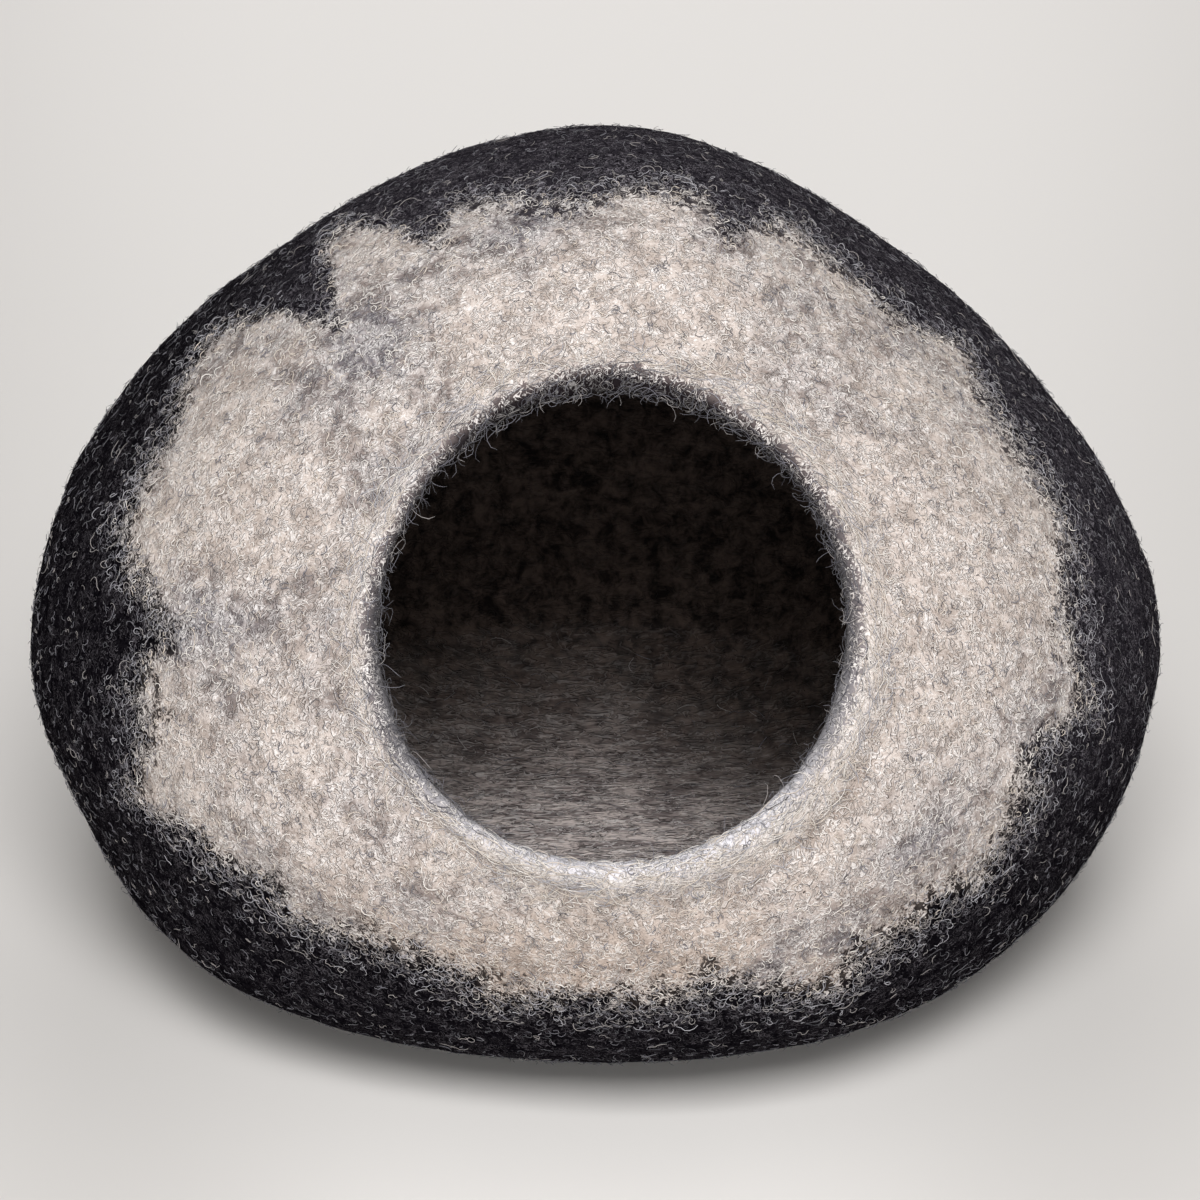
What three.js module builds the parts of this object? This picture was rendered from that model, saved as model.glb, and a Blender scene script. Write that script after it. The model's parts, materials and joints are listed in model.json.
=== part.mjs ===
// Felt cat cave: one hollow dome of thick wet-felted wool with a round mouth in its front.
// Millimetres, +Z up, the mouth faces -Y. The origin is on the floor, in the middle of the shell's box.
// The shell is one seamless piece: its outer face, its rolled lip and its inner face are one closed skin.

import * as THREE from 'three';

// Driving dimensions
const HEIGHT = 370;             // floor to crown
const WALL = 8;                 // thickness of the felt
const HEART = new THREE.Vector3(0, 0, 148);   // point inside the cave that every reach is measured from

// Level sections of the outer face, from the floor to the crown: how far each one reaches to the four sides.
// Hand-fulled felt is uneven, so the left is a little fuller than the right and the back than the front.
const SECTIONS = [
  { height: 0, left: 128, right: 140, front: 118, back: 124 },
  { height: 14, left: 174, right: 187, front: 157, back: 166 },
  { height: 45, left: 220, right: 219, front: 201, back: 204 },
  { height: 90, left: 238, right: 240, front: 222, back: 224 },
  { height: 148, left: 251, right: 247, front: 234, back: 236 },
  { height: 205, left: 240, right: 228, front: 218, back: 221 },
  { height: 260, left: 201, right: 188, front: 180, back: 184 },
  { height: 305, left: 150, right: 134, front: 137, back: 141 },
  { height: 342, left: 101, right: 82, front: 93, back: 96 },
  { height: HEIGHT, left: 0, right: 0, front: 0, back: 0 },
];

// The mouth: a round hole about an axis that leaves the heart forwards and upwards
const MOUTH = {
  radius: 99,                   // from the axis to the outer edge of the lip's roll
  elevation: 25.6,              // degrees above level
  yaw: 2,                       // degrees towards +X
  sag: 3,                       // how much farther the edge stands out where the felt has sagged
  sagTowards: 235,              // degrees round the axis, from +X by way of the crown
};

// The rubbed lip: the felt swells into a soft roll at the mouth, with a faint hollow behind it
const LIP = { rise: 2.4, width: 12, hollow: 1.2, hollowAt: 20, hollowWidth: 9 };

// Hand-fulled unevenness: broad swells that fade out towards the flat base
const SWELLS = [
  { along: [0.8, 0.35, 0.5], wavelength: 210, height: 1.8, phase: 0.6 },
  { along: [-0.45, 0.7, 0.55], wavelength: 165, height: 1.3, phase: 2.1 },
  { along: [0.3, -0.6, 0.74], wavelength: 128, height: 0.9, phase: 4.0 },
];
const SWELL_FADE = 60;          // height over which the swells grow from nothing at the floor

// Mesh steps
const AROUND = 72;              // steps round the mouth's axis
const OUTER_RINGS = 34;         // steps from the lip to the far pole, outside
const INNER_RINGS = 26;         // the same, inside
const LIP_STEPS = 5;            // steps over the rolled edge
const RING_SPREAD = 1.3;        // above 1, rings crowd towards the lip
const REACH_LIMIT = 420;        // farther from the heart than any point of the shell
const BISECTIONS = 40;
const ANGLE_STEP = 0.004;       // radians, for slopes of the outer face
const FLOOR_TOLERANCE = 1e-6;   // a point this close to the floor, or below it, rests on the floor

const radians = THREE.MathUtils.degToRad;

/** A smooth curve through one column of the table, that never swings past a row. */
function columnCurve(places, values) {
  const gaps = places.slice(1).map((place, i) => place - places[i]);
  const rises = gaps.map((gap, i) => (values[i + 1] - values[i]) / gap);
  const slopes = places.map((_, i) => {
    if (i === 0) return rises[0];
    if (i === places.length - 1) return rises[i - 1];
    const [before, after] = [rises[i - 1], rises[i]];
    return before * after <= 0 ? 0 : 2 * before * after / (before + after);
  });
  return (place) => {
    let row = 0;
    while (row < gaps.length - 1 && place > places[row + 1]) row += 1;
    const t = (place - places[row]) / gaps[row];
    const ends = values[row] * (1 + 2 * t) * (1 - t) ** 2 + values[row + 1] * t * t * (3 - 2 * t);
    const bends = slopes[row] * t * (1 - t) ** 2 - slopes[row + 1] * t * t * (1 - t);
    return ends + gaps[row] * bends;
  };
}

// Squares of the reaches run smoothly over the root of the height. That makes the wall land on the floor
// without a crease and closes the crown round.
const placeOf = (height) => Math.sqrt(height / HEIGHT);
const places = SECTIONS.map((row) => placeOf(row.height));
const squareOf = Object.fromEntries(['left', 'right', 'front', 'back']
  .map((side) => [side, columnCurve(places, SECTIONS.map((row) => row[side] ** 2))]));

/** Whether a point lies inside the smooth body. */
function isInside({ x, y, z }) {
  if (z < 0 || z >= HEIGHT) return false;
  const place = placeOf(z);
  const sideways = x * x / squareOf[x < 0 ? 'left' : 'right'](place);
  const lengthways = y * y / squareOf[y < 0 ? 'front' : 'back'](place);
  return sideways + lengthways < 1;
}

const alongRay = (direction, reach) => HEART.clone().addScaledVector(direction, reach);

/** Distance from the heart to the smooth body along a direction. */
function smoothReach(direction) {
  let [near, far] = [0, REACH_LIMIT];
  for (let step = 0; step < BISECTIONS; step += 1) {
    const middle = (near + far) / 2;
    if (isInside(alongRay(direction, middle))) near = middle;
    else far = middle;
  }
  return near;
}

/** Height of the swells at a point. */
function swellAt(point) {
  const fade = THREE.MathUtils.smoothstep(point.z, 0, SWELL_FADE);
  const waves = SWELLS.map(({ along, wavelength, height, phase }) =>
    height * Math.sin(2 * Math.PI * point.dot(new THREE.Vector3(...along)) / wavelength + phase));
  return fade * waves.reduce((sum, wave) => sum + wave, 0);
}

// The mouth's frame: its axis, and two directions square to it
const axis = new THREE.Vector3(
  Math.sin(radians(MOUTH.yaw)) * Math.cos(radians(MOUTH.elevation)),
  -Math.cos(radians(MOUTH.yaw)) * Math.cos(radians(MOUTH.elevation)),
  Math.sin(radians(MOUTH.elevation)),
);
const acrossAxis = new THREE.Vector3(0, 0, 1).cross(axis).normalize();
const aboveAxis = axis.clone().cross(acrossAxis);

/** Direction that leaves the mouth's axis by angle polar, towards the side given by angle turn. */
function directionAt(polar, turn) {
  return axis.clone().multiplyScalar(Math.cos(polar))
    .addScaledVector(acrossAxis, Math.sin(polar) * Math.cos(turn))
    .addScaledVector(aboveAxis, Math.sin(polar) * Math.sin(turn));
}

/** Point of the outer face, before the lip is raised. The floor cuts it flat. */
function facePoint(polar, turn) {
  const direction = directionAt(polar, turn);
  const reach = smoothReach(direction);
  const point = alongRay(direction, reach + swellAt(alongRay(direction, reach)));
  const isOnFloor = direction.z < 0 && point.z < FLOOR_TOLERANCE;
  return isOnFloor ? alongRay(direction, -HEART.z / direction.z).setZ(0) : point;
}

/** Outward normal of the outer face, and the direction along it towards the mouth. */
function faceFrame(polar, turn) {
  const awayFromMouth = facePoint(polar + ANGLE_STEP, turn).sub(facePoint(polar - ANGLE_STEP, turn));
  const round = facePoint(polar, turn + ANGLE_STEP).sub(facePoint(polar, turn - ANGLE_STEP));
  const normal = awayFromMouth.clone().cross(round).normalize();
  return { normal, toMouth: awayFromMouth.normalize().negate() };
}

/** Polar angle at which the outer face reaches the mouth's edge. */
function lipAngle(turn) {
  const edgeRadius = MOUTH.radius + MOUTH.sag * Math.max(0, Math.cos(turn - radians(MOUTH.sagTowards))) ** 2;
  let [low, high] = [0, Math.PI / 2];
  for (let step = 0; step < BISECTIONS; step += 1) {
    const middle = (low + high) / 2;
    const offset = facePoint(middle, turn).sub(HEART).length() * Math.sin(middle);
    if (offset < edgeRadius) low = middle;
    else high = middle;
  }
  return low;
}

/** How far the roll of the lip stands over the face, at a distance from the mouth's edge. */
function lipRise(distance) {
  const roll = LIP.rise * Math.exp(-((distance / LIP.width) ** 2));
  const hollow = LIP.hollow * Math.exp(-(((distance - LIP.hollowAt) / LIP.hollowWidth) ** 2));
  return roll - hollow;
}

/** One line of points from the far pole inside, over the lip, to the far pole outside. */
function meridian(turn) {
  const start = lipAngle(turn);
  const angleAt = (ring, rings) => start + (Math.PI - start) * (ring / rings) ** RING_SPREAD;
  const points = [];
  for (let ring = INNER_RINGS - 1; ring > 0; ring -= 1) {
    const angle = angleAt(ring, INNER_RINGS);
    points.push(facePoint(angle, turn).addScaledVector(faceFrame(angle, turn).normal, -WALL));
  }
  const edge = facePoint(start, turn);
  const { normal, toMouth } = faceFrame(start, turn);
  const halfLip = (WALL + lipRise(0)) / 2;
  const rollCentre = edge.clone().addScaledVector(normal, lipRise(0) - halfLip);
  for (let step = 0; step <= LIP_STEPS; step += 1) {
    const bend = Math.PI * (step / LIP_STEPS - 0.5);
    points.push(rollCentre.clone()
      .addScaledVector(toMouth, halfLip * Math.cos(bend))
      .addScaledVector(normal, halfLip * Math.sin(bend)));
  }
  for (let ring = 1; ring < OUTER_RINGS; ring += 1) {
    const angle = angleAt(ring, OUTER_RINGS);
    const point = facePoint(angle, turn);
    points.push(point.addScaledVector(faceFrame(angle, turn).normal, lipRise(point.distanceTo(edge))));
  }
  return points;
}

/** The whole shell as one closed skin of rings, with a pole at each end. */
function shellGeometry() {
  const lines = Array.from({ length: AROUND }, (_, i) => meridian(2 * Math.PI * i / AROUND));
  const rings = lines[0].length;
  const outerPole = facePoint(Math.PI, 0);
  const innerPole = outerPole.clone().addScaledVector(faceFrame(Math.PI - 2 * ANGLE_STEP, 0).normal, -WALL);
  const points = [...lines.flat(), innerPole, outerPole];
  const [innerIndex, outerIndex] = [AROUND * rings, AROUND * rings + 1];
  const faces = [];
  for (let i = 0; i < AROUND; i += 1) {
    const here = i * rings;
    const next = ((i + 1) % AROUND) * rings;
    faces.push(innerIndex, here, next);
    for (let ring = 0; ring < rings - 1; ring += 1) {
      faces.push(here + ring, here + ring + 1, next + ring);
      faces.push(next + ring, here + ring + 1, next + ring + 1);
    }
    faces.push(here + rings - 1, outerIndex, next + rings - 1);
  }
  const geometry = new THREE.BufferGeometry();
  geometry.setAttribute('position', new THREE.Float32BufferAttribute(points.flatMap((p) => p.toArray()), 3));
  geometry.setIndex(faces);
  geometry.computeBoundingBox();
  const middle = geometry.boundingBox.getCenter(new THREE.Vector3());
  geometry.translate(-middle.x, -middle.y, 0);
  geometry.computeVertexNormals();
  return geometry;
}

const wool = new THREE.MeshStandardMaterial({ color: 0x9c9692, roughness: 0.95, metalness: 0 });
const shell = new THREE.Mesh(shellGeometry(), wool);
shell.name = 'felt_shell';

const catCave = new THREE.Group();
catCave.add(shell);

export default catCave;
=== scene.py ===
"""Felt cat cave: a seamless hollow dome of wet-felted wool, with a round mouth in its front.

Metres, +Z up, and the mouth faces -Y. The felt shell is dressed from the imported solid: a finer skin with the
unevenness of hand fulling, a felt material for each face, and layers of real curled fibres that stand on it.
"""

from __future__ import annotations

import functools
import json
import logging
import math
import random
from abc import ABC, abstractmethod
from dataclasses import dataclass, field
from enum import Enum

import bmesh
import bpy
import numpy as np
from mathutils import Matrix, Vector, noise

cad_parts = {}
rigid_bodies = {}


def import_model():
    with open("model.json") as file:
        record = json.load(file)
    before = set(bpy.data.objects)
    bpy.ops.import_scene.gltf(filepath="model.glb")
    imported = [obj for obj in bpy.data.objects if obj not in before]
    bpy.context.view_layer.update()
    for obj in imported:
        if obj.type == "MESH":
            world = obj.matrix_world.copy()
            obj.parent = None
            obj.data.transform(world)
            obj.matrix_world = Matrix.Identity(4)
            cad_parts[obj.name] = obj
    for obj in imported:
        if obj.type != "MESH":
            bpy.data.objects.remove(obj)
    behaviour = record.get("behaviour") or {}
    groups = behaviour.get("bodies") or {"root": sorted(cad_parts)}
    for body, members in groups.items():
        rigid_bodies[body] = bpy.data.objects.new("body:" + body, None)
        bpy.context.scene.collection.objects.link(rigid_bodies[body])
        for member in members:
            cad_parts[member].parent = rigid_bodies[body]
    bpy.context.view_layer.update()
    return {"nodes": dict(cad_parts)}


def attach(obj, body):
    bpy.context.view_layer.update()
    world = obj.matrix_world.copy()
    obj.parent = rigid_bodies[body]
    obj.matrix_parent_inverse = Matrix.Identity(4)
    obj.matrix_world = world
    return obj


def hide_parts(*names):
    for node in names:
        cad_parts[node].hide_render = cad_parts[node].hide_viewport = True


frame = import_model()
LOG = logging.getLogger("cat_cave")

Colour = tuple[float, float, float, float]
Triple = tuple[float, float, float]
Pair = tuple[float, float]
Socket = bpy.types.NodeSocket
Fed = object                          # a socket to link from, or a plain value to set

TINY = 1e-9                           # keeps a length that is divided by off 0
NUDGE = 1e-4                          # keeps a direction from having no length


def wool_colour(red: int, green: int, blue: int) -> Colour:
    """Turn a display colour into the scene's linear one.

    Args:
        red: Red from 0 to 255.
        green: Green from 0 to 255.
        blue: Blue from 0 to 255.

    Returns:
        The linear colour, with full alpha.
    """
    shares = [channel / 255 for channel in (red, green, blue)]
    linear = [share / 12.92 if share < 0.0405 else ((share + 0.055) / 1.055) ** 2.4 for share in shares]
    return (linear[0], linear[1], linear[2], 1.0)


def smoothstep(values: np.ndarray, low: float, high: float) -> np.ndarray:
    """Ease from 0 at low to 1 at high.

    Args:
        values: The numbers to ease.
        low: Where the result leaves 0.
        high: Where it reaches 1. It may be below low, which turns the step round.

    Returns:
        Numbers from 0 to 1.
    """
    share = np.clip((values - low) / (high - low), 0.0, 1.0)
    return share * share * (3 - 2 * share)


def turn_gap(turn: np.ndarray, at: float) -> np.ndarray:
    """Measure the shorter way round from one turn to others.

    Args:
        turn: Turns in degrees.
        at: The turn to measure from.

    Returns:
        Degrees from -180 to 180.
    """
    return (turn - at + 180) % 360 - 180


def rows_of(items: bpy.types.bpy_prop_collection, attribute: str) -> np.ndarray:
    """Read a vector from each item of a collection.

    Args:
        items: A mesh's vertices, or their normals.
        attribute: Name of the vector that is read from each.

    Returns:
        The vectors, one a row.
    """
    found = np.empty(len(items) * 3, np.float32)
    items.foreach_get(attribute, found)
    return found.reshape(-1, 3).astype(float)


def put_object(name: str, data: bpy.types.ID) -> bpy.types.Object:
    """Put a new object in the scene.

    Args:
        name: The object's name.
        data: Its mesh, light or camera.

    Returns:
        The object.
    """
    made = bpy.data.objects.new(name, data)
    bpy.context.scene.collection.objects.link(made)
    return made


@dataclass(frozen=True)
class Ramp:
    """A smooth rise or fall: what goes in from start to end comes out from low to high."""

    start: float
    end: float
    low: float = 0.0
    high: float = 1.0


@dataclass(frozen=True)
class Grain:
    """Values of a noise texture."""

    scale: float = 1.0                # features per metre
    detail: float = 0.0               # octaves past the first
    roughness: float = 0.5            # strength of each finer octave against the one before
    distortion: float = 0.0           # how much the pattern swirls


class NodeNet:
    """A node tree that is being wired: nodes are added with what feeds their inputs."""

    def __init__(self, tree: bpy.types.NodeTree) -> None:
        """Keep the tree to wire."""
        self.tree = tree

    def feed(self, socket: Socket, source: Fed) -> None:
        """Link a socket from another one, or set its value.

        Args:
            socket: The input to feed.
            source: An output socket, or the plain value.
        """
        if isinstance(source, Socket):
            self.tree.links.new(source, socket)
        else:
            socket.default_value = source

    def add(self, kind: str, inputs: dict[str | int, Fed] | None = None,
            **settings: object) -> bpy.types.Node:
        """Add a node.

        Args:
            kind: Blender's name of the node type.
            inputs: What feeds each input, by socket name or place.
            **settings: The node's own settings.

        Returns:
            The new node.
        """
        node = self.tree.nodes.new(kind)
        for name, value in settings.items():
            setattr(node, name, value)
        for key, source in (inputs or {}).items():
            self.feed(node.inputs[key], source)
        return node

    def math(self, operation: str, *operands: Fed) -> Socket:
        """Add a Math node of the named operation, and give its result."""
        return self.add("ShaderNodeMath", dict(enumerate(operands)), operation=operation).outputs[0]

    def plus(self, first: Fed, second: Fed) -> Socket:
        """Add two numbers."""
        return self.math("ADD", first, second)

    def times(self, first: Fed, second: Fed) -> Socket:
        """Multiply two numbers."""
        return self.math("MULTIPLY", first, second)

    def centred(self, value: Fed, size: float) -> Socket:
        """Turn a number round 0.5 into one round 0, as many times as large as size says."""
        return self.times(self.math("SUBTRACT", value, 0.5), size)

    def vector_math(self, operation: str, *operands: Fed) -> Socket:
        """Add a Vector Math node of the named operation, and give its vector."""
        return self.add("ShaderNodeVectorMath", dict(enumerate(operands)), operation=operation).outputs[0]

    def split(self, vector: Fed) -> bpy.types.NodeOutputs:
        """Give the three numbers of a vector."""
        return self.add("ShaderNodeSeparateXYZ", {0: vector}).outputs

    def ease(self, value: Fed, ramp: Ramp) -> Socket:
        """Ease a number along a ramp."""
        inputs = {0: value, 1: ramp.start, 2: ramp.end, 3: ramp.low, 4: ramp.high}
        return self.add("ShaderNodeMapRange", inputs, interpolation_type="SMOOTHSTEP").outputs[0]

    def blend(self, factor: Fed, first: Fed, second: Fed) -> Socket:
        """Mix two colours, from the first at factor 0 to the second at factor 1."""
        return self.add("ShaderNodeMix", {0: factor, 6: first, 7: second}, data_type="RGBA").outputs[2]

    def noise(self, vector: Fed, grain: Grain, scale: Fed | None = None, output: int = 0) -> Socket:
        """Add a noise texture.

        Args:
            vector: Where it is read.
            grain: Its values.
            scale: Features per metre, if they aren't the grain's own.
            output: 0 for one number from 0 to 1, and 1 for three of them.

        Returns:
            The noise's socket.
        """
        inputs = {"Vector": vector, "Scale": grain.scale if scale is None else scale, "Detail": grain.detail,
                  "Roughness": grain.roughness, "Distortion": grain.distortion}
        return self.add("ShaderNodeTexNoise", inputs, noise_dimensions="3D").outputs[output]

    def attribute(self, name: str) -> Socket:
        """Read a number that the mesh carries, in a shader."""
        return self.add("ShaderNodeAttribute", attribute_name=name, attribute_type="GEOMETRY").outputs["Fac"]

    def named(self, name: Fed, data_type: str = "FLOAT") -> Socket:
        """Read what the mesh carries under a name, in Geometry Nodes."""
        return self.add("GeometryNodeInputNamedAttribute", {"Name": name}, data_type=data_type).outputs[0]


def add_sockets(tree: bpy.types.NodeTree, rows: tuple[tuple[str, str, Fed], ...],
                in_out: str = "INPUT") -> None:
    """Give a node group named inputs or outputs.

    Args:
        tree: The group.
        rows: Each socket's name, its type without the NodeSocket prefix, and its default or None.
        in_out: INPUT or OUTPUT.
    """
    for name, kind, value in rows:
        socket = tree.interface.new_socket(name, in_out=in_out, socket_type=f"NodeSocket{kind}")
        if value is not None:
            socket.default_value = value


@dataclass(frozen=True)
class FibreFinish:
    """Finish of one natural or dyed wool, as its single fibres show it."""

    name: str
    colour: Colour
    roughness: float = 0.75
    sheen: float = 0.25

    def material(self) -> bpy.types.Material:
        """Build the wool's material once, and reuse it.

        Returns:
            The material.
        """
        found = bpy.data.materials.get(self.name)
        if found:
            return found
        made = bpy.data.materials.new(self.name)
        made.use_nodes = True
        made.diffuse_color = self.colour
        shader = made.node_tree.nodes["Principled BSDF"]
        shader.inputs["Base Color"].default_value = self.colour
        shader.inputs["Roughness"].default_value = self.roughness
        shader.inputs["Sheen Weight"].default_value = self.sheen
        return made


class Wool(Enum):
    """The wools that are blended in the felt."""

    WHITE = FibreFinish("wool_white", wool_colour(226, 220, 214))
    CREAM = FibreFinish("wool_cream", wool_colour(206, 194, 182))
    ASH = FibreFinish("wool_ash", wool_colour(150, 144, 142))
    STEEL = FibreFinish("wool_steel", wool_colour(104, 102, 110))
    SLATE = FibreFinish("wool_slate", wool_colour(62, 60, 68))
    SILVER = FibreFinish("wool_silver", wool_colour(168, 166, 172))


@dataclass(frozen=True)
class StrandLay:
    """One direction in which painted strands run, and where their pattern starts."""

    turn: Triple                      # Euler angles that carry +X to the strands' direction
    start: Triple


@dataclass(frozen=True)
class FeltedWool:
    """The curled strands of matted wool, as a shader group that both felt materials place."""

    name: str = "felted_wool"
    stretch: float = 5.0              # length of a strand's straight run against the gap to the next
    light_lays: tuple[StrandLay, ...] = (
        StrandLay((0.0, -0.5, 0.2), (0.0, 0.0, 0.0)),
        StrandLay((0.0, -1.2, 2.6), (0.31, 0.12, 0.77)),
        StrandLay((0.0, 0.55, 0.5), (0.63, 0.41, 0.15)),
        StrandLay((0.0, -0.2, 1.5), (0.91, 0.27, 0.54)),
    )
    dark_lays: tuple[StrandLay, ...] = (
        StrandLay((0.0, -0.9, 0.3), (1.37, 0.81, 0.23)),
        StrandLay((0.0, 0.1, 0.9), (1.71, 1.13, 0.66)),
    )
    relief_lays: int = 2              # how many of the light lays stand up
    dark_share: float = 1.05          # dark strands for each light one
    swirl: Grain = Grain(230.0, 1.0)  # pushes the strands about
    hiding: Grain = Grain(170.0, 1.0)
    sunk: Ramp = Ramp(0.5, 0.62, 0.0, 0.3)         # how much of a strand's width the hiding noise takes
    folds: float = 3.0                # strands for each feature of a lay's noise
    fleck: Grain = Grain(detail=1.5, roughness=0.7, distortion=0.8)
    fleck_height: float = 0.5
    standing: Ramp = Ramp(0.04, 0.24, 0.6, 0.0)    # height of a strand, from its middle outwards

    def group(self) -> bpy.types.NodeTree:
        """Build the shader group once, and reuse it.

        Returns:
            The group, with the outputs Light Wave, Dark Wave, Fleck and Nap.
        """
        found = bpy.data.node_groups.get(self.name)
        if found:
            return found
        tree = bpy.data.node_groups.new(self.name, "ShaderNodeTree")
        add_sockets(tree, (("Position", "Vector", None), ("Strands per Metre", "Float", 400.0),
                           ("Flecks per Metre", "Float", 600.0), ("Curl", "Float", 0.005)))
        results = ("Light Wave", "Dark Wave", "Fleck", "Nap")
        add_sockets(tree, tuple((name, "Float", None) for name in results), "OUTPUT")
        net = NodeNet(tree)
        given = net.add("NodeGroupInput").outputs
        place, scale = given["Position"], given["Strands per Metre"]
        curled = self._curled(net, place, given["Curl"])
        hidden = net.split(net.noise(place, self.hiding, output=1))
        light = self._woven(net, curled, scale, self.light_lays, hidden)
        dark = self._woven(net, curled, net.times(scale, self.dark_share), self.dark_lays, hidden)
        relief = self._woven(net, curled, scale, self.light_lays[:self.relief_lays], hidden)
        fleck = net.noise(place, self.fleck, given["Flecks per Metre"])
        nap = net.plus(net.ease(relief, self.standing), net.times(fleck, self.fleck_height))
        net.add("NodeGroupOutput", {"Light Wave": light, "Dark Wave": dark, "Fleck": fleck, "Nap": nap})
        return tree

    def _curled(self, net: NodeNet, place: Fed, curl: Fed) -> Socket:
        """Push places about, so that whatever is drawn on them curls.

        Args:
            net: The tree being wired.
            place: The places.
            curl: How far they are pushed, in metres.

        Returns:
            The pushed places' socket.
        """
        swirl = net.vector_math("SUBTRACT", net.noise(place, self.swirl, output=1), (0.5, 0.5, 0.5))
        pushed = net.add("ShaderNodeVectorMath", {0: swirl, 3: curl}, operation="SCALE").outputs[0]
        return net.vector_math("ADD", place, pushed)

    def _woven(self, net: NodeNet, place: Fed, scale: Fed, lays: tuple[StrandLay, ...],
               hidden: bpy.types.NodeOutputs) -> Socket:
        """Lay strands over one another along several directions.

        Args:
            net: The tree being wired.
            place: Curled places.
            scale: Strands per metre.
            lays: The directions.
            hidden: Three noises, each of which hides some of the strands.

        Returns:
            A wave that is 0 in the middle of each strand and rises away from it.
        """
        waves = []
        for index, lay in enumerate(lays):
            along = net.add("ShaderNodeMapping", {
                "Vector": place, "Location": lay.start, "Rotation": lay.turn,
                "Scale": (self.stretch, 1.0, 1.0),
            }, vector_type="TEXTURE").outputs[0]
            wave = net.math("PINGPONG", net.times(net.noise(along, Grain(), scale), self.folds), 0.5)
            waves.append(net.plus(wave, net.ease(hidden[index % 3], self.sunk)))
        return functools.reduce(lambda first, second: net.math("MINIMUM", first, second), waves)


@dataclass(frozen=True)
class Ground:
    """The tree of a felt's material, with what its colour is worked out from."""

    net: NodeNet
    place: Socket                     # Object coordinates
    combed: Socket                    # the same, drawn out the way the wool was combed
    waves: bpy.types.NodeOutputs      # of the felted wool group

    def strands(self, wave: str, width: Fed, softness: float = 0.04) -> Socket:
        """Draw curled strands along the lines of one of the waves.

        Args:
            wave: Name of the group's wave.
            width: Half the strands' width. At 0 there are none, and well past 0.5 they cover everything.
            softness: How gently their edges fade.

        Returns:
            A mask that is 1 on the strands.
        """
        depth = self.net.math("SUBTRACT", width, self.waves[wave])
        return self.net.ease(depth, Ramp(-softness / 2, softness))


@dataclass(frozen=True)
class Felt(ABC):
    """What the felts of both faces share: matted strands in their colour, roughness and bump."""

    name: str
    comb: Triple                      # below 1, the wool is drawn out along that axis
    strands_per_metre: float
    flecks_per_metre: float
    curl: float                       # how far the strands are pushed about, in metres
    specular: float
    roughness: Ramp = Ramp(0.3, 0.7, 1.0, 0.88)    # by the flecks
    bump_height: float = 0.0012

    def material(self) -> bpy.types.Material:
        """Build the felt's material.

        Returns:
            The material.
        """
        made = bpy.data.materials.new(self.name)
        made.use_nodes = True
        net = NodeNet(made.node_tree)
        place = net.add("ShaderNodeTexCoord").outputs["Object"]
        combed = net.vector_math("MULTIPLY", place, self.comb)
        waves = net.add("ShaderNodeGroup", {
            "Position": combed, "Strands per Metre": self.strands_per_metre,
            "Flecks per Metre": self.flecks_per_metre, "Curl": self.curl,
        }, node_tree=FeltedWool().group()).outputs
        shader = made.node_tree.nodes["Principled BSDF"]
        net.feed(shader.inputs["Base Color"], self.colour(Ground(net, place, combed, waves)))
        net.feed(shader.inputs["Roughness"], net.ease(waves["Fleck"], self.roughness))
        shader.inputs["Specular IOR Level"].default_value = self.specular
        bump = net.add("ShaderNodeBump", {
            "Strength": 1.0, "Distance": self.bump_height, "Height": waves["Nap"]})
        net.feed(shader.inputs["Normal"], bump.outputs[0])
        return made

    @abstractmethod
    def colour(self, ground: Ground) -> Socket:
        """Work out the felt's colour from its ground."""


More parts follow.
